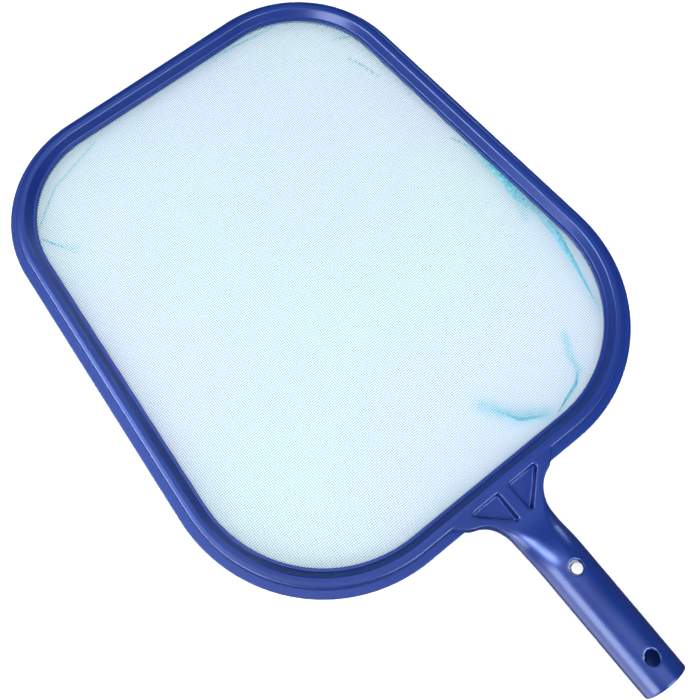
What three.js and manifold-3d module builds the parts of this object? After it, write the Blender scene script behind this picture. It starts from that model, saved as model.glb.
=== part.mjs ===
// Leaf skimmer net for a pool: a flat rounded frame holds a fine woven mesh, and its hollow handle
// slips into the end of a telescopic pole, where two spring buttons lock it.
//
// Frame of the part: millimetres, +Z up, the skimmer lying on its back with the raised rim upwards.
// +Y runs from the handle to the far edge, and the plane X = 0 is the mirror plane. The origin is at
// the middle of the bounding box in X and Y, at the level of the lower button's tip. Inside this file
// y is measured from the handle side of the window and levels from the handle's underside.
import * as THREE from 'three';
import { LoftGeometry } from 'three/addons/geometries/LoftGeometry.js';
import { mergeVertices } from 'three/addons/utils/BufferGeometryUtils.js';
import Module from 'manifold-3d';

const wasm = await Module();
wasm.setup();

// ---- Driving dimensions ----------------------------------------------------------------------

// Window: the clear opening that the mesh fills, a trapezoid with round corners.
const WINDOW_LENGTH = 335;
const WINDOW_NEAR_WIDTH = 296;
const WINDOW_FAR_WIDTH = 253;
const NEAR_CORNER_RADIUS = 84;
const FAR_CORNER_RADIUS = 64;
const CORNER_STEPS = 12;

// Net: its margin is held between the rim and the ring.
const NET_THICKNESS = 0.4;
const NET_MARGIN = 8.6;
const ASSEMBLY_GAP = 0.3;

// Levels above the handle's underside.
const RING_BOTTOM = 6;
const FLANGE_TOP = 10.2;
const RIM_BOTTOM = FLANGE_TOP + ASSEMBLY_GAP;
const SEAT_LEVEL = FLANGE_TOP + NET_THICKNESS + 2 * ASSEMBLY_GAP;
const LEDGE_TOP = 12.9;
const RIM_TOP = 18.2;

// Widths of the rim's steps, measured outwards from the edge of the window.
const LEDGE_WIDTH = 2;
const TOP_INNER_EDGE = 6.2;
const TOP_OUTER_EDGE = 10.8;
const TOP_ROUND = 0.7;
const RIM_OUTER_EDGE = 12.2;
const FLANGE_EDGE = 17;
const RING_CHAMFER = 1;
const RING_LIP = 0.8;
const RING_SETBACK = 2.2;
const CHANNEL_INNER_EDGE = 4.5;
const CHANNEL_OUTER_EDGE = 12.5;
const CHANNEL_DEPTH = 1.8;
const SKIRT_INNER_EDGE = 9.6;
const GROOVE_INNER = 3.6;
const GROOVE_OUTER = 8.2;
const GROOVE_TOP = 15.8;
const GROOVE_TAPER = 1;

// Handle and the gusset that carries it.
const HANDLE_LENGTH = 146;
const HANDLE_END_RADIUS = 14;
const HANDLE_NECK_RADIUS = 14.7;
const BORE_RADIUS = 11.7;
const BORE_DEPTH = 87;
const BORE_TIP = 4;
const NECK_FILLET_RADIUS = 20;
const NECK_FILLET_Y = -39;
const GUSSET_ROOT_Y = -9.8;
const GUSSET_HALF_WIDTH = 39;
const POCKET_DEPTH = 5;
const POCKET_CORNER = 2;
const POCKET_OUTER_X = 25;
const POCKET_INNER_X = 3.6;
const POCKET_RIM_Y = -11.5;
const POCKET_HANDLE_Y = -33;
const HANDLE_SIDES = 48;
const ROUND_SIDES = 24;
const BEND_STEPS = 12;

// Neck: where its section changes from a flat plate (end) to a round tube (start), each a span of y.
const ROUNDNESS_SPAN = [-62, -30];
const TOP_RISE_SPAN = [-66, -32];
const BOTTOM_DROP_SPAN = [-48, -19];
const PLATE_SQUARENESS = 0.16;
const FILLET_REACH = 0.96;
const NECK_STATION_START = -64;
const NECK_STATION_STEP = 3;
const TUBE_STATIONS = [-100, -70];

// Snap holes across the handle, measured from the edge of the window.
const HOLE_RADIUS = 4.4;
const UPPER_HOLE_Y = -69.5;
const LOWER_HOLE_Y = -129.5;

// Spring clip: a strip bent into a V, with a button near the end of each arm.
const CLIP_WIDTH = 9;
const CLIP_THICKNESS = 1.8;
const CLIP_BEND_Y = -110;
const CLIP_BEND_RADIUS = 4;
const CLIP_TAIL = 7;
const CLIP_KNEE = 6;
const BUTTON_ROOT = 0.5;
const ARM_RISE = 8.6;
const BUTTON_RADIUS = 3.6;
const BUTTON_STAND = 1.8;
const BUTTON_ROUND = 0.8;

const FRONT_TO_BACK = HANDLE_LENGTH + WINDOW_LENGTH + FLANGE_EDGE;
const Y_SHIFT = HANDLE_LENGTH - FRONT_TO_BACK / 2;
const AXIS_LEVEL = HANDLE_END_RADIUS;
const WELD_DISTANCE = 1e-4;

// ---- Colours ---------------------------------------------------------------------------------

const bluePlastic = new THREE.MeshStandardMaterial({ color: '#25399b', roughness: 0.38, metalness: 0 });
const paleMesh = new THREE.MeshStandardMaterial({ color: '#d7eef8', roughness: 0.7, metalness: 0 });
const whitePlastic = new THREE.MeshStandardMaterial({ color: '#f1f2f4', roughness: 0.4, metalness: 0 });

// ---- Solids ----------------------------------------------------------------------------------

// A closed geometry as a manifold solid, with its shared vertices merged.
function toSolid(geometry) {
  const bare = new THREE.BufferGeometry().copy(geometry);
  bare.deleteAttribute('normal');
  bare.deleteAttribute('uv');
  const welded = mergeVertices(bare, WELD_DISTANCE);
  return new wasm.Manifold(new wasm.Mesh({
    numProp: 3,
    vertProperties: new Float32Array(welded.attributes.position.array),
    triVerts: new Uint32Array(welded.index.array),
  }));
}

// A manifold solid back as a geometry, with flat normals.
function toGeometry(solid) {
  const mesh = solid.getMesh();
  const geometry = new THREE.BufferGeometry();
  geometry.setAttribute('position', new THREE.BufferAttribute(mesh.vertProperties, 3));
  geometry.setIndex(new THREE.BufferAttribute(mesh.triVerts, 1));
  geometry.computeVertexNormals();
  return geometry;
}

function namedMesh(name, geometry, material) {
  const mesh = new THREE.Mesh(geometry, material);
  mesh.name = name;
  return mesh;
}

// The window's outline moved outwards by an offset: four arcs joined by straight sides, listed
// anticlockwise from the middle of the handle side.
function windowLoop(offset) {
  const halfNear = WINDOW_NEAR_WIDTH / 2;
  const halfFar = WINDOW_FAR_WIDTH / 2;
  const lean = Math.atan2(halfNear - halfFar, WINDOW_LENGTH);
  const nearX = halfNear - NEAR_CORNER_RADIUS * (1 + Math.sin(lean)) / Math.cos(lean);
  const farX = halfFar - FAR_CORNER_RADIUS * (1 - Math.sin(lean)) / Math.cos(lean);
  const corners = [
    { x: nearX, y: NEAR_CORNER_RADIUS, radius: NEAR_CORNER_RADIUS, from: -Math.PI / 2, to: lean },
    { x: farX, y: WINDOW_LENGTH - FAR_CORNER_RADIUS, radius: FAR_CORNER_RADIUS, from: lean, to: Math.PI / 2 },
  ];
  const right = [];
  for (const corner of corners) {
    for (let step = 0; step <= CORNER_STEPS; step += 1) {
      const angle = corner.from + (corner.to - corner.from) * step / CORNER_STEPS;
      const reach = corner.radius + offset;
      right.push(new THREE.Vector2(corner.x + reach * Math.cos(angle), corner.y + reach * Math.sin(angle)));
    }
  }
  const left = right.map((point) => new THREE.Vector2(-point.x, point.y)).reverse();
  return right.concat(left);
}

// A ring whose closed profile, a list of [offset, level] pairs, is carried round the window.
function windowRing(profile) {
  const closedProfile = profile.concat([profile[0]]);
  const sections = closedProfile.map(([offset, level]) => (
    windowLoop(offset).map((point) => new THREE.Vector3(point.x, point.y, level))
  ));
  return toSolid(new LoftGeometry(sections));
}

// A plate that fills the window out to an offset, between two levels.
function windowPlate(offset, bottom, top) {
  const sections = [bottom, top].map((level) => (
    windowLoop(offset).map((point) => new THREE.Vector3(point.x, point.y, level))
  ));
  return toSolid(new LoftGeometry(sections, { capStart: true, capEnd: true }));
}

// 1 at the start of a span of y, falling smoothly to 0 at its end.
function fade(y, [start, end]) {
  return 1 - THREE.MathUtils.smoothstep(y, start, end);
}

// ---- Upper frame: rim, gusset and handle in one moulding -------------------------------------

// The raised rim: a sloped inner wall down to a narrow ledge, and a skirt outside the net's margin.
function rimSolid() {
  return windowRing([
    [0, SEAT_LEVEL],
    [GROOVE_INNER, SEAT_LEVEL],
    [GROOVE_INNER, GROOVE_TOP - GROOVE_TAPER],
    [TOP_INNER_EDGE, GROOVE_TOP],
    [GROOVE_OUTER, GROOVE_TOP],
    [GROOVE_OUTER, SEAT_LEVEL],
    [SKIRT_INNER_EDGE, SEAT_LEVEL],
    [SKIRT_INNER_EDGE, RIM_BOTTOM],
    [RIM_OUTER_EDGE, RIM_BOTTOM],
    [TOP_OUTER_EDGE + TOP_ROUND, RIM_TOP - TOP_ROUND],
    [TOP_OUTER_EDGE, RIM_TOP],
    [TOP_INNER_EDGE, RIM_TOP],
    [TOP_INNER_EDGE - TOP_ROUND, RIM_TOP - TOP_ROUND],
    [LEDGE_WIDTH, LEDGE_TOP],
    [0, LEDGE_TOP],
  ]);
}

// Half-width of the gusset and handle at a distance y from the window's edge.
function neckHalfWidth(y) {
  const along = THREE.MathUtils.clamp((y + HANDLE_LENGTH) / (HANDLE_LENGTH + NECK_FILLET_Y), 0, 1);
  const straight = THREE.MathUtils.lerp(HANDLE_END_RADIUS, HANDLE_NECK_RADIUS, along);
  if (y <= NECK_FILLET_Y) {
    return straight;
  }
  const rise = Math.min(y - NECK_FILLET_Y, NECK_FILLET_RADIUS * FILLET_REACH);
  const fillet = NECK_FILLET_RADIUS - Math.sqrt(NECK_FILLET_RADIUS ** 2 - rise ** 2);
  return Math.min(straight + fillet, GUSSET_HALF_WIDTH);
}

// One cross-section of the neck: a flat plate at the rim that grows into a round tube.
function neckSection(y) {
  const halfWidth = neckHalfWidth(y);
  const tubeRadius = Math.min(halfWidth, HANDLE_NECK_RADIUS);
  const top = THREE.MathUtils.lerp(RIM_TOP, 2 * tubeRadius, fade(y, TOP_RISE_SPAN));
  const bottom = THREE.MathUtils.lerp(RIM_BOTTOM, 0, fade(y, BOTTOM_DROP_SPAN));
  const power = THREE.MathUtils.lerp(PLATE_SQUARENESS, 1, fade(y, ROUNDNESS_SPAN));
  const points = [];
  for (let side = 0; side < HANDLE_SIDES; side += 1) {
    const angle = 2 * Math.PI * side / HANDLE_SIDES;
    const across = Math.sign(Math.cos(angle)) * Math.abs(Math.cos(angle)) ** power;
    const up = Math.sign(Math.sin(angle)) * Math.abs(Math.sin(angle)) ** power;
    const level = (top + bottom) / 2 + up * (top - bottom) / 2;
    points.push(new THREE.Vector3(halfWidth * across, y, level));
  }
  return points;
}

function neckSolid() {
  const stations = [-HANDLE_LENGTH, ...TUBE_STATIONS];
  for (let y = NECK_STATION_START; y < GUSSET_ROOT_Y - 1; y += NECK_STATION_STEP) {
    stations.push(y);
  }
  stations.push(GUSSET_ROOT_Y);
  const sections = stations.map(neckSection);
  return toSolid(new LoftGeometry(sections.reverse(), { capStart: true, capEnd: true }));
}

// A blind triangular pocket with round corners on one side of the gusset's centre rib.
function pocketSolid(side) {
  const shape = new THREE.Shape([
    new THREE.Vector2(side * POCKET_OUTER_X, POCKET_RIM_Y),
    new THREE.Vector2(side * POCKET_INNER_X, POCKET_RIM_Y),
    new THREE.Vector2(side * POCKET_INNER_X, POCKET_HANDLE_Y),
  ]);
  const taper = POCKET_CORNER / 2;
  const pocket = new THREE.ExtrudeGeometry(shape, {
    depth: POCKET_DEPTH,
    bevelEnabled: true,
    bevelThickness: taper,
    bevelSize: taper,
    bevelOffset: -taper,
    bevelSegments: 1,
  });
  pocket.translate(0, 0, RIM_TOP - POCKET_DEPTH + taper);
  return toSolid(pocket);
}

// The handle's bore, from the open end to a blunt tip inside the neck.
function boreSolid() {
  const profile = [
    new THREE.Vector2(0, -1),
    new THREE.Vector2(BORE_RADIUS, -1),
    new THREE.Vector2(BORE_RADIUS, BORE_DEPTH - BORE_TIP),
    new THREE.Vector2(BORE_RADIUS - BORE_TIP, BORE_DEPTH),
    new THREE.Vector2(0, BORE_DEPTH),
  ];
  const bore = new THREE.LatheGeometry(profile, HANDLE_SIDES);
  bore.translate(0, -HANDLE_LENGTH, AXIS_LEVEL);
  return toSolid(bore);
}

// A snap hole straight through both walls of the handle.
function holeSolid(y) {
  const hole = new THREE.CylinderGeometry(HOLE_RADIUS, HOLE_RADIUS, 4 * HANDLE_END_RADIUS, ROUND_SIDES);
  hole.rotateX(Math.PI / 2);
  hole.translate(0, y, AXIS_LEVEL);
  return toSolid(hole);
}

function upperFrameGeometry() {
  const inside = windowPlate(LEDGE_WIDTH, 0, RIM_TOP + 1);
  const gusset = neckSolid().subtract(inside);
  return toGeometry(
    rimSolid()
      .add(gusset)
      .subtract(pocketSolid(1))
      .subtract(pocketSolid(-1))
      .subtract(boreSolid())
      .subtract(holeSolid(UPPER_HOLE_Y))
      .subtract(holeSolid(LOWER_HOLE_Y)),
  );
}

// ---- Lower ring: the flange under the rim, which clamps the net, with a channel underneath ----

function lowerRingGeometry() {
  return toGeometry(windowRing([
    [0, FLANGE_TOP - RING_LIP],
    [RING_SETBACK, RING_BOTTOM],
    [CHANNEL_INNER_EDGE, RING_BOTTOM],
    [CHANNEL_INNER_EDGE + RING_CHAMFER, RING_BOTTOM + CHANNEL_DEPTH],
    [CHANNEL_OUTER_EDGE - RING_CHAMFER, RING_BOTTOM + CHANNEL_DEPTH],
    [CHANNEL_OUTER_EDGE, RING_BOTTOM],
    [FLANGE_EDGE - RING_CHAMFER, RING_BOTTOM],
    [FLANGE_EDGE, RING_BOTTOM + RING_CHAMFER],
    [FLANGE_EDGE, FLANGE_TOP],
    [0, FLANGE_TOP],
  ]));
}

// ---- Net: one flat sheet of woven mesh, its margin between the two mouldings ------------------

function netGeometry() {
  const top = SEAT_LEVEL - ASSEMBLY_GAP;
  return toGeometry(windowPlate(NET_MARGIN, top - NET_THICKNESS, top));
}

// ---- Spring clip -----------------------------------------------------------------------------

// The bend of the clip: a half ring that joins the two arms.
function clipBendGeometry() {
  const shape = new THREE.Shape();
  shape.absarc(0, 0, CLIP_BEND_RADIUS, Math.PI / 2, 3 * Math.PI / 2, false);
  shape.absarc(0, 0, CLIP_BEND_RADIUS - CLIP_THICKNESS, 3 * Math.PI / 2, Math.PI / 2, true);
  const bend = new THREE.ExtrudeGeometry(shape, {
    depth: CLIP_WIDTH,
    bevelEnabled: false,
    curveSegments: BEND_STEPS,
  });
  bend.translate(0, 0, -CLIP_WIDTH / 2);
  bend.rotateY(Math.PI / 2);
  bend.rotateX(Math.PI / 2);
  bend.translate(0, CLIP_BEND_Y, AXIS_LEVEL);
  return toGeometry(toSolid(bend));
}

// One arm, rising from the bend to the wall of the bore, with its button.
function clipArmGeometry(side) {
  const start = CLIP_BEND_Y + ASSEMBLY_GAP;
  const end = UPPER_HOLE_Y + CLIP_TAIL;
  const inner = CLIP_BEND_RADIUS - CLIP_THICKNESS;
  const shape = new THREE.Shape([
    new THREE.Vector2(start, inner),
    new THREE.Vector2(UPPER_HOLE_Y - CLIP_KNEE, ARM_RISE),
    new THREE.Vector2(end, ARM_RISE),
    new THREE.Vector2(end, ARM_RISE + CLIP_THICKNESS),
    new THREE.Vector2(UPPER_HOLE_Y - CLIP_KNEE, ARM_RISE + CLIP_THICKNESS),
    new THREE.Vector2(start, inner + CLIP_THICKNESS),
  ]);
  const strip = new THREE.ExtrudeGeometry(shape, { depth: CLIP_WIDTH, bevelEnabled: false });
  strip.translate(0, 0, -CLIP_WIDTH / 2);
  strip.rotateY(Math.PI / 2);
  strip.rotateX(Math.PI / 2);
  const topLevel = HANDLE_END_RADIUS + BUTTON_STAND;
  const profile = [
    new THREE.Vector2(0, ARM_RISE + BUTTON_ROOT),
    new THREE.Vector2(BUTTON_RADIUS, ARM_RISE + BUTTON_ROOT),
    new THREE.Vector2(BUTTON_RADIUS, topLevel - BUTTON_ROUND),
    new THREE.Vector2(BUTTON_RADIUS - BUTTON_ROUND, topLevel),
    new THREE.Vector2(0, topLevel),
  ];
  const button = new THREE.LatheGeometry(profile, ROUND_SIDES);
  button.rotateX(Math.PI / 2);
  button.translate(0, UPPER_HOLE_Y, 0);
  const arm = toGeometry(toSolid(strip).add(toSolid(button)));
  if (side < 0) {
    arm.rotateY(Math.PI);
  }
  arm.translate(0, 0, AXIS_LEVEL);
  return arm;
}

// ---- Assembly --------------------------------------------------------------------------------

const group = new THREE.Group();
group.name = 'leaf_skimmer_net';
group.position.set(0, Y_SHIFT, BUTTON_STAND);
group.add(namedMesh('upper_frame', upperFrameGeometry(), bluePlastic));
group.add(namedMesh('lower_ring', lowerRingGeometry(), bluePlastic));
group.add(namedMesh('net', netGeometry(), paleMesh));
group.add(namedMesh('clip_bend', clipBendGeometry(), whitePlastic));
group.add(namedMesh('clip_arm_top', clipArmGeometry(1), whitePlastic));
group.add(namedMesh('clip_arm_bottom', clipArmGeometry(-1), whitePlastic));

export default group;
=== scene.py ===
"""Pool leaf skimmer net: the looks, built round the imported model."""
import math

import bpy
import numpy as np
import openvdb
from mathutils import Matrix, Vector


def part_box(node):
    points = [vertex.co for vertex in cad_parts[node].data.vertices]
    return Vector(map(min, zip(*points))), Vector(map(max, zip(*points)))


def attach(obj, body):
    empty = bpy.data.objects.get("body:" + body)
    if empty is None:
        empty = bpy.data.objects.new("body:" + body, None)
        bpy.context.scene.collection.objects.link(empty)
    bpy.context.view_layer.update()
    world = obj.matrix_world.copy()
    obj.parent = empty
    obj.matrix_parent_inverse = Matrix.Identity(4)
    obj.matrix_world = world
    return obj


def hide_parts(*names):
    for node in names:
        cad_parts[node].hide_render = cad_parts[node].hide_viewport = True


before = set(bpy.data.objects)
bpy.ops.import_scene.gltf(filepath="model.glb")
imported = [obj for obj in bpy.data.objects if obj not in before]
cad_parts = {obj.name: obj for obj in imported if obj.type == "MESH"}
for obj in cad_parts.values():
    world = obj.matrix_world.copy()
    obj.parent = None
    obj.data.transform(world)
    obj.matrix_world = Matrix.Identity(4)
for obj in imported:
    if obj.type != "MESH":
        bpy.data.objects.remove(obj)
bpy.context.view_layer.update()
scene = bpy.context.scene
MM = 0.001

# ---------------------------------------------------------------------------------------------
# Camera, floor and light.
# A pale table that glows a little, a large soft fill near the lens, and five cards seen only as
# reflections, which draw the pale lines along the moulded edges. Angles are in degrees.
# ---------------------------------------------------------------------------------------------


def linear(colour, alpha=1.0):
    """sRGB hex to linear RGBA: divided by 12.92 near black, a 2.4 power above."""
    values = [int(colour[i : i + 2], 16) / 255 for i in (1, 3, 5)]
    return [v / 12.92 if v <= 0.04045 else ((v + 0.055) / 1.055) ** 2.4 for v in values] + [alpha]


def add(tree, kind, settings=None, inputs=None, **links):
    """Adds a node, sets its properties and socket values, and links sockets given as keywords."""
    made = tree.nodes.new(kind)
    for key, value in (settings or {}).items():
        setattr(made, key, value)
    for key, value in (inputs or {}).items():
        made.inputs[key].default_value = value
    for key, source in links.items():
        tree.links.new(source, made.inputs[int(key[1:]) if key[1:].isdigit() else key.replace("_", " ")])
    return made


def new_material(name):
    """An empty node material, ready for its nodes."""
    material = bpy.data.materials.new(name)
    material.use_nodes = True
    material.node_tree.nodes.clear()
    return material


EYE = Vector((-0.1373, -0.1167, 0.5711))
FORWARD = Vector((0.2010, 0.2561, -0.9455))
UPWARD = Vector((0.5838, 0.7438, 0.3256))
camera_data = bpy.data.cameras.new("camera")
camera_data.sensor_width = 36
camera_data.lens = 48.6
camera_data.shift_x = 0.0429
camera_data.shift_y = -0.0429
camera_data.clip_start = 0.01
camera = bpy.data.objects.new("camera", camera_data)
scene.collection.objects.link(camera)
back = -FORWARD.normalized()
side = UPWARD.cross(back).normalized()
top = back.cross(side)
camera.matrix_world = Matrix.Translation(EYE) @ Matrix((side, top, back)).transposed().to_4x4()
scene.camera = camera

FLOOR_SIZE = 6.0
FLOOR_LEVEL = -0.0002
FLOOR_GLOW = 0.42
bpy.ops.mesh.primitive_plane_add(size=FLOOR_SIZE)
floor = bpy.context.object
floor.name = "floor"
floor.location.z = FLOOR_LEVEL
floor_paint = new_material("matt_white_table_laminate")
tree = floor_paint.node_tree
shader = add(tree, "ShaderNodeBsdfPrincipled",
             inputs={"Base Color": linear("#fafafa"), "Roughness": 0.9})
shader.inputs["Specular IOR Level"].default_value = 0.0
shader.inputs["Emission Color"].default_value = linear("#fafcff")
shader.inputs["Emission Strength"].default_value = FLOOR_GLOW
add(tree, "ShaderNodeOutputMaterial", Surface=shader.outputs[0])
floor.data.materials.append(floor_paint)
floor.visible_glossy = False

world = bpy.data.worlds.new("dim_studio")
scene.world = world
world.use_nodes = True
tree = world.node_tree
sky = tree.nodes["Background"]
sky.inputs["Color"].default_value = linear("#dbe6ff")
# Dim all round, brighter low on the left, where the pale table reflects the left-hand box.
around = add(tree, "ShaderNodeTexCoord")
axes = add(tree, "ShaderNodeSeparateXYZ", Vector=around.outputs["Generated"])
DIM, BRIGHT = 0.07, 4.0
# For each axis of the direction looked in, where the bright patch starts and where it is full.
patch = [("X", -0.4, -0.75), ("Z", 0.08, -0.08), ("Y", 0.12, -0.08)]
share = None
for axis, start, full in patch:
    ramp = add(tree, "ShaderNodeMapRange", inputs={"From Min": start, "From Max": full},
               Value=axes.outputs[axis]).outputs[0]
    if share is None:
        share = ramp
    else:
        share = add(tree, "ShaderNodeMath", {"operation": "MULTIPLY"}, _0=share, _1=ramp).outputs[0]
strength = add(tree, "ShaderNodeMapRange", inputs={"To Min": DIM, "To Max": BRIGHT}, Value=share)
tree.links.new(strength.outputs[0], sky.inputs["Strength"])


def soft_box(name, azimuth, elevation, distance, width, height, radiance, colour):
    """A rectangular area light aimed at the middle of the part from the given azimuth, measured
    from +X towards +Y, and elevation. Its power is radiance times area times pi."""
    data = bpy.data.lights.new(name, "AREA")
    data.shape = "RECTANGLE"
    data.size = width
    data.size_y = height
    data.energy = radiance * width * height * math.pi
    data.color = linear(colour)[:3]
    light = bpy.data.objects.new(name, data)
    scene.collection.objects.link(light)
    turn, rise = math.radians(azimuth), math.radians(elevation)
    level = math.cos(rise)
    place = distance * Vector((math.cos(turn) * level, math.sin(turn) * level, math.sin(rise)))
    light.location = place
    light.rotation_mode = "QUATERNION"
    light.rotation_quaternion = (-place).to_track_quat("-Z", "Y")
    return light


CARD_DISTANCE = 1.7
# Name, azimuth, elevation, width, height, radiance and colour. Each card is seen only in gloss.
cards = [
    ("left_low_card", 195, 15, 0.85, 0.95, 14.0, "#e2ecff"),
    ("left_high_card", 150, 45, 0.9, 0.9, 34.0, "#b4ccff"),
    ("front_card", 282, 47, 0.9, 0.5, 34.0, "#b4ccff"),
    ("right_card", 24, 12, 0.4, 0.45, 22.0, "#b4ccff"),
    ("overhead_card", 105, 74, 1.3, 1.3, 2.4, "#b4ccff"),
]
for name, azimuth, elevation, width, height, radiance, colour in cards:
    card = soft_box(name, azimuth, elevation, CARD_DISTANCE, width, height, radiance, colour)
    card.visible_diffuse = False
    card.visible_transmission = False
# A large cross-polarised fill near the lens: it lights the colours and gives no glare.
fill = soft_box("polarised_fill", 222, 72, 2.4, 1.6, 1.6, 7.9, "#ffffff")
fill.visible_glossy = False

# ---------------------------------------------------------------------------------------------
# Upper frame.
# One injection moulding in semi-gloss blue polypropylene: raised rim, gusset with two blind
# pockets, and the hollow round handle. The edges are rounded as they leave the mould.
# Lengths are millimetres: Y from the handle side of the window, height from the handle's underside.
# ---------------------------------------------------------------------------------------------
frame_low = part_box("upper_frame")[0]
HANDLE_LENGTH = 146.0
Y_SHIFT = frame_low.y / MM + HANDLE_LENGTH
LIFT = frame_low.z / MM
WINDOW_LENGTH = 335.0
NEAR_HALF = 148.0
FAR_HALF = 126.5
NEAR_CORNER = 84.0
FAR_CORNER = 64.0
RIM_TOP = 18.2
RIM_BOTTOM = 10.5
SEAT = 11.2
LEDGE_TOP = 12.9


def to_metres(points):
    """Millimetre points of the part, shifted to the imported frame, in metres."""
    return (np.asarray(points, float) + (0, Y_SHIFT, LIFT)) * MM


def window_outline(corner_steps, side_steps):
    """Points and outward normals round the window, anticlockwise from its near right corner: four
    corner arcs with straight sides between them, the long sides leaning in to the far end."""
    lean = math.atan2(NEAR_HALF - FAR_HALF, WINDOW_LENGTH)
    near_x = NEAR_HALF - NEAR_CORNER * (1 + math.sin(lean)) / math.cos(lean)
    far_x = FAR_HALF - FAR_CORNER * (1 - math.sin(lean)) / math.cos(lean)
    right = [
        (near_x, NEAR_CORNER, NEAR_CORNER, -math.pi / 2, lean),
        (far_x, WINDOW_LENGTH - FAR_CORNER, FAR_CORNER, lean, math.pi / 2),
    ]
    left = [(-x, y, r, math.pi - end, math.pi - start) for x, y, r, start, end in reversed(right)]
    points, normals = [], []
    for x, y, radius, start, end in right + left:
        turn = np.linspace(start, end, corner_steps + 1)
        normal = np.stack([np.cos(turn), np.sin(turn)], 1)
        arc = np.array([x, y]) + radius * normal
        if points:
            share = np.linspace(0, 1, side_steps + 1)[1:-1, None]
            points.append(points[-1][-1] * (1 - share) + arc[0] * share)
            normals.append(np.repeat(normal[:1], len(share), 0))
        points.append(arc)
        normals.append(normal)
    share = np.linspace(0, 1, side_steps + 1)[1:-1, None]
    points.append(points[-1][-1] * (1 - share) + points[0][0] * share)
    normals.append(np.repeat(normals[0][:1], len(share), 0))
    return np.concatenate(points), np.concatenate(normals)


FLAT_START = 0.12


def rounded_profile(corners, steps=5):
    """A closed profile with each corner (across, up, radius) turned into an arc of that radius,
    and a point a little way along each flat so that the flats shade flat."""
    given = np.array([c[:2] for c in corners], float)
    made = []
    for index, (_, _, radius) in enumerate(corners):
        here = given[index]
        before = given[index - 1] - here
        after = given[(index + 1) % len(corners)] - here
        before_unit = before / np.linalg.norm(before)
        after_unit = after / np.linalg.norm(after)
        half = 0.5 * math.acos(np.clip(before_unit @ after_unit, -1, 1))
        reach = radius / math.tan(half)
        start, end = here + before_unit * reach, here + after_unit * reach
        inward = (before_unit + after_unit) / np.linalg.norm(before_unit + after_unit)
        centre = here + inward * radius / math.sin(half)
        first, last = start - centre, end - centre
        share = np.linspace(0, 1, steps + 1)
        turn = math.pi - 2 * half
        near, far = np.sin((1 - share) * turn)[:, None], np.sin(share * turn)[:, None]
        arc = (near * first + far * last) / math.sin(turn)
        made.append(start + before_unit * FLAT_START)
        made.extend(centre + arc)
        made.append(end + after_unit * FLAT_START)
    return np.array(made)


def grid_object(name, points, closed_rows, closed_columns, material, body):
    """A mesh from a rows by columns array of points, wrapped round where it is closed."""
    rows, columns = points.shape[:2]
    row = np.arange(rows if closed_rows else rows - 1)[:, None]
    column = np.arange(columns if closed_columns else columns - 1)[None, :]
    next_row, next_column = (row + 1) % rows, (column + 1) % columns
    faces = np.stack(
        [row * columns + column, next_row * columns + column,
         next_row * columns + next_column, row * columns + next_column], -1)
    return mesh_object(name, points.reshape(-1, 3), faces.reshape(-1, 4), material, body)


def mesh_object(name, points, faces, material, body):
    """A smooth-shaded object from arrays of points and faces, riding on the given body."""
    mesh = bpy.data.meshes.new(name)
    mesh.from_pydata(points.tolist(), [], faces.tolist())
    mesh.polygons.foreach_set("use_smooth", [True] * len(mesh.polygons))
    mesh.update()
    made = bpy.data.objects.new(name, mesh)
    scene.collection.objects.link(made)
    mesh.materials.append(material)
    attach(made, body)
    return made


# Section of the rim as corners: distance out from the window, height, rounding radius.
RIM_PROFILE = [
    (0.0, SEAT, 0.15),
    (9.6, SEAT, 0.15),
    (9.6, RIM_BOTTOM, 0.15),
    (12.0, RIM_BOTTOM, 0.2),
    (11.2, 17.9, 1.1),
    (8.4, 18.2, 2.0),
    (5.6, 17.9, 1.1),
    (2.0, LEDGE_TOP, 0.6),
    (0.0, LEDGE_TOP, 0.35),
]


def blue_plastic(name):
    """Injection-moulded polypropylene: an even deep blue, a soft sheen and a very fine skin grain."""
    material = new_material(name)
    tree = material.node_tree
    place = add(tree, "ShaderNodeTexCoord")
    cloud = add(tree, "ShaderNodeTexNoise", inputs={"Scale": 22.0, "Detail": 3.0},
                Vector=place.outputs["Object"])
    tone = add(tree, "ShaderNodeValToRGB", Fac=cloud.outputs["Fac"])
    tone.color_ramp.elements[0].color = linear("#12307f")
    tone.color_ramp.elements[0].position = 0.3
    tone.color_ramp.elements[1].color = linear("#143388")
    tone.color_ramp.elements[1].position = 0.7
    # The mould's spark-eroded skin is about 0.3 mm across.
    grain = add(tree, "ShaderNodeTexNoise", inputs={"Scale": 2600.0, "Detail": 2.0},
                Vector=place.outputs["Object"])
    skin = add(tree, "ShaderNodeBump", inputs={"Strength": 0.04, "Distance": 0.0002},
               Height=grain.outputs["Fac"])
    gloss = add(tree, "ShaderNodeMapRange",
                inputs={"From Min": 0.3, "From Max": 0.7, "To Min": 0.28, "To Max": 0.33},
                Value=cloud.outputs["Fac"])
    shader = add(tree, "ShaderNodeBsdfPrincipled", Base_Color=tone.outputs["Color"],
                 Roughness=gloss.outputs["Result"], Normal=skin.outputs["Normal"])
    shader.inputs["IOR"].default_value = 1.49
    add(tree, "ShaderNodeOutputMaterial", Surface=shader.outputs[0])
    return material


polypropylene = blue_plastic("blue_moulded_polypropylene")
outline, outward = window_outline(40, 40)
profile = rounded_profile(RIM_PROFILE)


def sweep(name, profile):
    """The profile, in steps outwards and upwards, carried round the window's outline."""
    flat = outline[:, None, :] + profile[None, :, :1] * outward[:, None, :]
    level = np.broadcast_to(profile[None, :, 1:], flat.shape[:2] + (1,))
    points = to_metres(np.concatenate([flat, level], 2))
    return grid_object(name, points, True, True, polypropylene, "frame")


rim = sweep("rim", profile)


def smooth_step(low, high, value):
    """Nought below low, one above high, and a cubic ease between them."""
    share = np.clip((value - low) / (high - low), 0, 1)
    return share * share * (3 - 2 * share)


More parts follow.
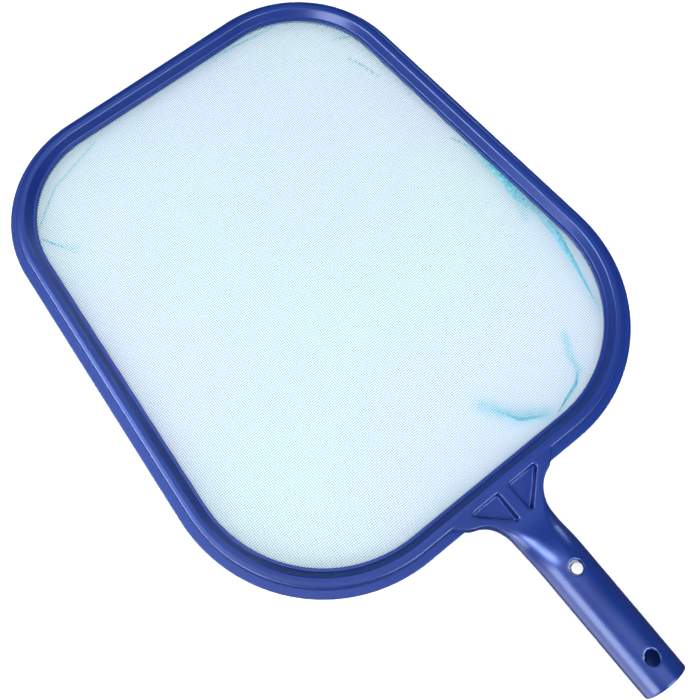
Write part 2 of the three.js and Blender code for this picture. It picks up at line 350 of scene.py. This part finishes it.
def plan_distance(corners, x, y):
    """Signed distance in plan to a closed polygon, negative inside."""
    corners = np.asarray(corners, float)
    nearest = np.full(x.shape, np.inf)
    inside = np.zeros(x.shape, bool)
    for (ax, ay), (bx, by) in zip(corners, np.roll(corners, -1, 0)):
        ex, ey = bx - ax, by - ay
        share = np.clip(((x - ax) * ex + (y - ay) * ey) / (ex * ex + ey * ey), 0, 1)
        nearest = np.minimum(nearest, np.hypot(x - ax - share * ex, y - ay - share * ey))
        crosses = (ay > y) != (by > y)
        inside ^= crosses & (x < ex * (y - ay) / (by - ay + 1e-12) + ax)
    return np.where(inside, -nearest, nearest)


def join(a, b, blend):
    """Smooth union: the smaller of two distances, with a fillet about blend wide."""
    share = np.clip(0.5 + 0.5 * (b - a) / blend, 0, 1)
    return b * (1 - share) + a * share - blend * share * (1 - share)


def cut(a, b, blend):
    """Smooth difference: a with b taken away and the edge between them eased."""
    return -join(-a, b, blend)


END_RADIUS, NECK_RADIUS, NECK_LENGTH = 14.0, 14.7, 107.0
FILLET, FILLET_Y = 20.0, -39.0
CELL = 0.6
GUSSET_REACH = 42.0
PLATE_TOP, PLATE_EDGE = 18.0, 0.9
# Stretches of y over which the section turns round, its top rises and its underside drops.
ROUND_SPAN, RISE_SPAN, DROP_SPAN = (-56, -25), (-65, -30), (-50, -18)
DRAFT, POCKET_DRAFT = 0.1, 0.08
BORE_RADIUS, BORE_END, HOLE_RADIUS = 11.7, -59.0, 4.3
HOLE_YS = (-69.5, -129.5)
POCKET_OUTER_X, POCKET_INNER_X = 22.6, 5.6
POCKET_RIM_Y, POCKET_HANDLE_Y = -13.3, -29.0
POCKET_CORNER, POCKET_FLOOR, POCKET_FALL = 1.6, 12.0, 0.05


def gusset_plan():
    """Half outline of gusset and handle, mirrored: a concave arc that turns out to meet the rim."""
    turn = np.radians(np.linspace(2, 68, 16))
    arc = np.stack([NECK_RADIUS + FILLET - FILLET * np.cos(turn), FILLET_Y + FILLET * np.sin(turn)], 1)
    horn = [(31.0, -19.0), (36.0, -15.0), (40.0, -11.0), (41.0, -8.0)]
    half = np.concatenate([[(END_RADIUS, -170.0)], arc, horn])
    return np.concatenate([half, (half * (-1, 1))[::-1]])


def neck_field(x, y, z):
    """Distance to the gusset and handle as one body: the plan's outline, with a section that goes
    from a flat plate to a round tube along y. The window side, pockets, bore and holes are then
    cut away with eased edges."""
    flat_x, flat_y = x[:, :, :1], y[:, :, :1]
    plan = plan_distance(gusset_plan(), flat_x, flat_y)
    tube = 1 - smooth_step(*ROUND_SPAN, flat_y)
    tall = 1 - smooth_step(*RISE_SPAN, flat_y)
    deep = 1 - smooth_step(*DROP_SPAN, flat_y)
    along = np.clip((flat_y + HANDLE_LENGTH) / NECK_LENGTH, 0, 1)
    radius = END_RADIUS + (NECK_RADIUS - END_RADIUS) * along
    roof = PLATE_TOP + (2 * radius - PLATE_TOP) * tall
    base = RIM_BOTTOM * (1 - deep)
    half, middle = (roof - base) / 2, (roof + base) / 2
    edge = np.minimum(PLATE_EDGE + (radius - PLATE_EDGE) * tube, half - 0.01)
    draft = DRAFT * (z - RIM_BOTTOM) * (1 - tube)
    across = plan + draft + edge
    up = np.abs(z - middle) - half + edge
    body = np.hypot(np.maximum(across, 0), np.maximum(up, 0)) + np.minimum(np.maximum(across, up), 0) - edge
    # It starts inside the rim, just behind the rim's inner wall and above the net's seat.
    window_side = [(7.2, 60.0), (7.2, 16.0), (3.4, SEAT + 0.6), (10.0, SEAT + 0.4), (10.0, -40.0),
                   (200.0, -40.0), (200.0, 60.0)]
    slice_y, slice_z = y[:1], z[:1]
    body = cut(body, -plan_distance(window_side, -slice_y, slice_z), 0.9)
    body = cut(body, y + HANDLE_LENGTH, 0.8)
    for sign in (1, -1):
        outer, inner = sign * POCKET_OUTER_X, sign * POCKET_INNER_X
        corners = [(outer, POCKET_RIM_Y), (inner, POCKET_RIM_Y), (inner, POCKET_HANDLE_Y)]
        walls = plan_distance(corners, flat_x, flat_y) - POCKET_CORNER + POCKET_DRAFT * (RIM_TOP - z)
        bottom = POCKET_FLOOR + POCKET_FALL * (flat_y - POCKET_RIM_Y) - z
        body = cut(body, np.maximum(walls, bottom), 0.8)
    reach = np.hypot(x, z - END_RADIUS)
    body = cut(body, np.maximum(reach - BORE_RADIUS, y - BORE_END), 0.5)
    body = cut(body, reach - BORE_RADIUS - 0.5 + (y + HANDLE_LENGTH), 0.3)
    for hole_y in HOLE_YS:
        body = cut(body, np.hypot(x, y - hole_y) - HOLE_RADIUS, 0.8)
    return np.maximum(body, np.abs(x) - GUSSET_REACH)


def neck_mesh():
    """The neck's surface, taken from its distance field on a fine grid of cells."""
    xs = np.arange(-GUSSET_REACH - 2, GUSSET_REACH + 2, CELL)
    ys = np.arange(-HANDLE_LENGTH - 2, 3, CELL)
    zs = np.arange(-1.5, 31.5, CELL)
    x, y, z = np.meshgrid(xs, ys, zs, indexing="ij")
    grid = openvdb.FloatGrid()
    grid.copyFromArray(neck_field(x, y, z).astype(np.float32))
    points, quads = grid.convertToQuads(0.0)
    return np.asarray(points) * CELL + (xs[0], ys[0], zs[0]), np.asarray(quads)


neck_points, neck_quads = neck_mesh()
neck = mesh_object("gusset_and_handle", to_metres(neck_points), neck_quads[:, ::-1], polypropylene, "frame")
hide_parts("upper_frame")

# ---------------------------------------------------------------------------------------------
# Lower ring.
# The flange under the rim, in the same plastic, welded on through the margin of the net.
# ---------------------------------------------------------------------------------------------
RING_PROFILE = [
    (2.2, 6.0, 0.6),
    (4.5, 6.0, 0.4),
    (5.5, 7.8, 0.4),
    (11.5, 7.8, 0.4),
    (12.5, 6.0, 0.4),
    (17.0, 6.0, 0.9),
    (17.0, 10.2, 0.5),
    (0.0, 10.2, 0.2),
    (0.0, 9.4, 0.2),
]
ring = sweep("base_ring", rounded_profile(RING_PROFILE))
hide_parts("lower_ring")

# ---------------------------------------------------------------------------------------------
# Net.
# One sheet of plain-woven nylon monofilament, pale cyan, pulled flat and clamped all round
# between the two mouldings. Slack gathered along the border lies over in narrow doubled pleats.
# ---------------------------------------------------------------------------------------------
THREAD_PITCH = 1.3
NET_LEVEL = 10.7
NET_MARGIN = 8.0
NET_SAG, SLACK_WAVE = 0.5, 0.35
PLEAT_LEAN = 0.3
# Pleats, in millimetres: points (x, y) along the middle, half-widths at those points, height, and
# doubling from 0 to 1.
PLEATS = [
    ([(134, 274), (135, 252), (137, 222), (139, 204)], [0.5, 2.4, 2.3, 0.5], 0.9, 1.0),
    ([(136, 172), (137, 141), (136, 125), (138, 110)], [0.4, 2.2, 3.2, 1.6], 1.2, 0.9),
    ([(139, 112), (138, 90), (132, 64), (124, 36)], [1.4, 2.7, 1.1, 0.4], 1.5, 0.9),
    ([(130, 185), (134, 175), (136, 160)], [0.3, 0.5, 0.4], 0.4, 0.35),
    ([(86, 15), (80, 9), (58, 2)], [0.3, 1.0, 0.4], 1.4, 1.0),
    ([(52, 5), (37, 13), (30, 25)], [0.3, 1.2, 0.3], 1.5, 1.0),
    ([(27, 335), (60, 332), (93, 328)], [0.3, 0.6, 0.3], 0.6, 0.55),
    ([(116, 294), (124, 291), (130, 286)], [0.3, 0.5, 0.3], 0.5, 0.5),
    ([(115, 276), (119, 265), (122, 252)], [0.2, 0.45, 0.2], 0.5, 0.4),
    ([(-126, 292), (-122, 285), (-117, 277)], [0.3, 0.7, 0.3], 0.7, 0.6),
    ([(-60, 329), (-98, 318), (-124, 298)], [0.2, 0.4, 0.2], 0.3, 0.3),
]
# Soft rises beside the pleats, where the slack starts: points, spread and strength.
RISES = [
    ([(95, 36), (89, 25), (86, 14)], 2.6, 0.5),
    ([(52, 6), (36, 16), (25, 33)], 4.5, 0.55),
    ([(133, 120), (130, 110)], 3.0, 0.3),
    ([(-120, 282), (-112, 272)], 3.0, 0.25),
]


def woven_mesh(name):
    """Nylon monofilament in a plain weave: square holes between threads, a doubled layer where the
    attribute doubling rises, and slight drifts of tint from dyeing."""
    material = new_material(name)
    tree = material.node_tree
    threads = add(tree, "ShaderNodeUVMap")
    place = add(tree, "ShaderNodeTexCoord")
    doubling = add(tree, "ShaderNodeAttribute", {"attribute_name": "doubling"})
    # The real weave is finer than the 1.3 mm pitch drawn here, too fine to show.
    # A thread reaches 0.18 of a pitch to each side; a second layer nearly fills the holes.
    reach = add(tree, "ShaderNodeMapRange", inputs={"To Min": 0.18, "To Max": 0.38},
                Value=doubling.outputs["Fac"])
    parts = add(tree, "ShaderNodeSeparateXYZ", Vector=threads.outputs["UV"])
    lines = []
    for axis in "XY":
        wrapped = add(tree, "ShaderNodeMath", {"operation": "FRACT"}, _0=parts.outputs[axis])
        centred = add(tree, "ShaderNodeMath", {"operation": "SUBTRACT"}, {1: 0.5}, _0=wrapped.outputs[0])
        away = add(tree, "ShaderNodeMath", {"operation": "ABSOLUTE"}, _0=centred.outputs[0])
        lines.append(add(tree, "ShaderNodeMath", {"operation": "LESS_THAN"},
                         _0=away.outputs[0], _1=reach.outputs[0]))
    cover = add(tree, "ShaderNodeMath", {"operation": "MAXIMUM"},
                _0=lines[0].outputs[0], _1=lines[1].outputs[0])
    drift = add(tree, "ShaderNodeTexNoise", inputs={"Scale": 7.0, "Detail": 1.0},
                Vector=place.outputs["Object"])
    tint = add(tree, "ShaderNodeValToRGB", Fac=drift.outputs["Fac"])
    tint.color_ramp.elements[0].position = 0.38
    tint.color_ramp.elements[0].color = linear("#b4d5da")
    tint.color_ramp.elements[1].position = 0.62
    tint.color_ramp.elements[1].color = linear("#b8cfe2")
    colour = add(tree, "ShaderNodeMix", {"data_type": "RGBA"}, Factor=doubling.outputs["Fac"])
    tree.links.new(tint.outputs["Color"], colour.inputs[6])
    specks = add(tree, "ShaderNodeTexNoise", inputs={"Scale": 800.0, "Detail": 1.0},
                 Vector=place.outputs["Object"])
    layered = add(tree, "ShaderNodeValToRGB", Fac=specks.outputs["Fac"])
    layered.color_ramp.elements[0].position = 0.42
    layered.color_ramp.elements[0].color = linear("#48c2d6")
    layered.color_ramp.elements[1].position = 0.55
    layered.color_ramp.elements[1].color = linear("#98ecf8")
    tree.links.new(layered.outputs["Color"], colour.inputs[7])
    solid = add(tree, "ShaderNodeBsdfPrincipled", inputs={"Roughness": 0.45}, Base_Color=colour.outputs[2])
    glow = add(tree, "ShaderNodeBsdfTranslucent", Color=colour.outputs[2])
    thread = add(tree, "ShaderNodeMixShader", inputs={0: 0.45}, _1=solid.outputs[0], _2=glow.outputs[0])
    hole = add(tree, "ShaderNodeBsdfTransparent")
    mixed = add(tree, "ShaderNodeMixShader", _0=cover.outputs[0], _1=hole.outputs[0], _2=thread.outputs[0])
    add(tree, "ShaderNodeOutputMaterial", Surface=mixed.outputs[0])
    return material


netting = woven_mesh("plain_woven_nylon_monofilament")


def half_width(y, offset):
    """Half-width of the window, moved out by offset, at a distance y from the handle side."""
    moved = outline + offset * outward
    right = moved[moved[:, 0] > 0]
    order = np.argsort(right[:, 1])
    return np.interp(y, right[order, 1], right[order, 0])


def line_distance(points, x, y):
    """Distance in plan from each point of x, y to a polyline."""
    nearest = np.full(x.shape, np.inf)
    for (ax, ay), (bx, by) in zip(points[:-1], points[1:]):
        ex, ey = bx - ax, by - ay
        share = np.clip(((x - ax) * ex + (y - ay) * ey) / (ex * ex + ey * ey), 0, 1)
        nearest = np.minimum(nearest, np.hypot(x - ax - share * ex, y - ay - share * ey))
    return nearest


def smooth_path(points, count):
    """The polyline resampled evenly, then eased by passes of a quarter, half, quarter average."""
    points = np.asarray(points, float)
    along = np.concatenate([[0], np.cumsum(np.linalg.norm(np.diff(points[:, :2], axis=0), axis=1))])
    at = np.linspace(0, along[-1], count)
    path = np.stack([np.interp(at, along, column) for column in points.T], 1)
    for _ in range(count // 5):
        path[1:-1] = path[:-2] / 4 + path[1:-1] / 2 + path[2:] / 4
    return path


def net_sheet(rows=310, columns=280):
    """The flat sheet: across runs over the window's width at each y. Its height is the net's level,
    plus slow slack waves that die at the border, plus a small rise under every pleat."""
    turn = np.linspace(0, math.pi, rows)
    y = WINDOW_LENGTH / 2 - (WINDOW_LENGTH / 2 + NET_MARGIN - 0.01) * np.cos(turn)
    across = np.linspace(-1, 1, columns)
    x = half_width(y, NET_MARGIN)[:, None] * across[None, :]
    y = np.repeat(y[:, None], columns, 1)
    inside = half_width(np.clip(y, 0.1, WINDOW_LENGTH - 0.1), 0) - np.abs(x)
    free = smooth_step(1, 16, np.minimum(inside, np.minimum(y, WINDOW_LENGTH - y)))
    waves = np.sin(x / 31 + 0.8) * np.sin(y / 43) + 0.5 * np.sin(x / 17 - y / 23)
    z = NET_LEVEL - NET_SAG * free + SLACK_WAVE * free * waves
    doubling = np.zeros_like(x)
    for points, spread, strength in RISES:
        near = np.exp(-((line_distance(points, x, y) / spread) ** 2))
        doubling = np.maximum(doubling, strength * near)
        z += 1.0 * strength * near * free
    for points, widths, height, _ in PLEATS:
        near = np.exp(-((line_distance(points, x, y) / (max(widths) + 0.8)) ** 2))
        z += 0.5 * height * near * free
        doubling = np.maximum(doubling, 0.25 * near)
    return np.stack([x, y, z], 2), doubling


def pleat_sheet(points, widths, height, doubling, rows=70, columns=7):
    """A doubled pleat: a ribbon along its path, arched across by height times one minus the square."""
    path = smooth_path(np.column_stack([points, widths]), rows)
    along = np.gradient(path[:, :2], axis=0)
    along /= np.linalg.norm(along, axis=1)[:, None]
    sideways = np.stack([along[:, 1], -along[:, 0]], 1)
    across = np.linspace(-1, 1, columns)
    flat = path[:, None, :2] + sideways[:, None] * (across[None, :, None] * path[:, None, 2:3])
    ends = np.sin(np.linspace(0, math.pi, rows)) ** 0.5
    z = NET_LEVEL + 0.25 + height * (1 - across[None, :] ** 2) * ends[:, None] * 0.6
    fading = doubling * np.broadcast_to(ends[:, None], z.shape)
    return np.concatenate([flat, z[:, :, None]], 2), fading


def net_object():
    """Sheet and pleats joined in one mesh, with thread coordinates and doubling stored on it."""
    sheets = [net_sheet()] + [pleat_sheet(*pleat) for pleat in PLEATS]
    points, faces, doubling, threads, count = [], [], [], [], 0
    for index, (grid, extra) in enumerate(sheets):
        rows, columns = grid.shape[:2]
        first = count + np.arange(rows - 1)[:, None] * columns + np.arange(columns - 1)[None]
        faces.append(np.stack([first, first + 1, first + columns + 1, first + columns], -1).reshape(-1, 4))
        flat = grid.reshape(-1, 3)
        points.append(flat)
        doubling.append(extra.ravel())
        # A pleat's threads lie a little askew over those of the sheet.
        lean = 0.0 if index == 0 else PLEAT_LEAN
        turn = np.array([[math.cos(lean), math.sin(lean)], [-math.sin(lean), math.cos(lean)]])
        threads.append(flat[:, :2] @ turn / THREAD_PITCH)
        count += rows * columns
    points, faces = np.concatenate(points), np.concatenate(faces)
    net = mesh_object("mesh_net", to_metres(points), faces, netting, "frame")
    loops = np.zeros(len(net.data.loops), np.int32)
    net.data.loops.foreach_get("vertex_index", loops)
    uv = net.data.uv_layers.new(name="threads")
    uv.data.foreach_set("uv", np.concatenate(threads)[loops].astype(np.float32).ravel())
    extra = net.data.attributes.new("doubling", "FLOAT", "POINT")
    extra.data.foreach_set("value", np.concatenate(doubling).astype(np.float32))
    return net


net = net_object()
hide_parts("net")

# ---------------------------------------------------------------------------------------------
# Spring clip.
# A strip of white acetal moulded as a V with a round button near the end of each arm. It sits
# in the bore, its arms sprung outwards so that the buttons stand out of the holes by the gusset.
# ---------------------------------------------------------------------------------------------
CLIP_WIDTH, CLIP_THICKNESS = 9.0, 1.8
BEND_Y, BEND_RADIUS = -110.0, 3.1
ARM_LEVEL, BUTTON_Y, BUTTON_RADIUS = 9.5, -69.9, 3.4
BUTTON_TOP, BUTTON_EDGE, BUTTON_CROWN = 15.6, 0.9, 0.2
ARM_KNEE_Y, ARM_TIP_Y = -76.0, -62.5


def white_acetal(name):
    """Moulded acetal: milky white, waxy, faintly uneven in gloss."""
    material = new_material(name)
    tree = material.node_tree
    place = add(tree, "ShaderNodeTexCoord")
    flow = add(tree, "ShaderNodeTexNoise", inputs={"Scale": 180.0, "Detail": 2.0},
               Vector=place.outputs["Object"])
    tone = add(tree, "ShaderNodeValToRGB", Fac=flow.outputs["Fac"])
    tone.color_ramp.elements[0].color = linear("#e6e8ec")
    tone.color_ramp.elements[1].color = linear("#f3f4f5")
    gloss = add(tree, "ShaderNodeMapRange", inputs={"To Min": 0.3, "To Max": 0.45},
                Value=flow.outputs["Fac"])
    shader = add(tree, "ShaderNodeBsdfPrincipled",
                 Base_Color=tone.outputs["Color"], Roughness=gloss.outputs["Result"])
    add(tree, "ShaderNodeOutputMaterial", Surface=shader.outputs[0])
    return material


acetal = white_acetal("white_moulded_acetal")


def strip_grid(path):
    """A rounded rectangle, clip-width across and clip-thickness deep, carried along a path of
    (y, height above the bore's axis) points; its ends shrink to a point to close it."""
    corners = [(-1, -1), (1, -1), (1, 1), (-1, 1)]
    section = rounded_profile([(x * CLIP_WIDTH / 2, z * CLIP_THICKNESS / 2, 0.5) for x, z in corners], 4)
    path = np.asarray(path, float)
    along = np.gradient(path, axis=0)
    along /= np.linalg.norm(along, axis=1)[:, None]
    normal = np.stack([-along[:, 1], along[:, 0]], 1)
    rows = np.concatenate([[0, 0], np.arange(len(path)), [len(path) - 1] * 2])
    scale = np.concatenate([[0.001, 0.94], np.ones(len(path)), [0.94, 0.001]])
    middle = path[rows][:, None] + normal[rows][:, None] * section[None, :, 1:] * scale[:, None, None]
    across = section[None, :, :1] * scale[:, None, None]
    return np.concatenate([across, middle], 2) + (0, 0, END_RADIUS)


def button_grid(sign):
    """A turned peg: its profile of (radius, height) points carried round a vertical axis."""
    round_over = np.linspace(0, math.pi / 2, 8)
    side = [(0.001, ARM_LEVEL), (BUTTON_RADIUS, ARM_LEVEL)]
    flat_radius, shoulder = BUTTON_RADIUS - BUTTON_EDGE, BUTTON_TOP - BUTTON_EDGE
    edge = [(flat_radius + BUTTON_EDGE * math.cos(t), shoulder + BUTTON_EDGE * math.sin(t))
            for t in round_over]
    crown = [(BUTTON_RADIUS * share, BUTTON_TOP + BUTTON_CROWN * (1 - share)) for share in (0.5, 0.25, 0.001)]
    profile = np.array(side + edge + crown)
    turn = np.linspace(0, 2 * math.pi, 48, endpoint=False)
    radius, height = profile[:, :1], profile[:, 1:]
    level = END_RADIUS + sign * height + 0 * turn
    return np.stack([radius * np.cos(turn), BUTTON_Y + radius * np.sin(turn), level], 2)


def joined_grids(name, grids, body):
    """Several closed grids, each wrapped round its columns, in one mesh."""
    points, faces, count = [], [], 0
    for grid in grids:
        rows, columns = grid.shape[:2]
        row, column = np.arange(rows - 1)[:, None] * columns, np.arange(columns)[None]
        after = (column + 1) % columns
        corners = [row + column, row + after, row + columns + after, row + columns + column]
        faces.append((count + np.stack(corners, -1)).reshape(-1, 4))
        points.append(grid.reshape(-1, 3))
        count += rows * columns
    made = mesh_object(name, to_metres(np.concatenate(points)), np.concatenate(faces), acetal, body)
    return made


for sign, label, body in ((1, "top", "top_button_arm"), (-1, "bottom", "bottom_button_arm")):
    knees = [(BEND_Y, BEND_RADIUS), (ARM_KNEE_Y, ARM_LEVEL), (ARM_TIP_Y, ARM_LEVEL)]
    rise = smooth_path([(y, sign * height) for y, height in knees], 30)
    arm = joined_grids("clip_arm_" + label + "_looks", [strip_grid(rise), button_grid(sign)], body)
    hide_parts("clip_arm_" + label)
half_turn = np.linspace(math.pi / 2, 3 * math.pi / 2, 17)
bend_path = np.stack([BEND_Y + BEND_RADIUS * np.cos(half_turn), BEND_RADIUS * np.sin(half_turn)], 1)
bend = joined_grids("clip_bend_looks", [strip_grid(bend_path)], "frame")
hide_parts("clip_bend")

scene.view_settings.view_transform = "Standard"
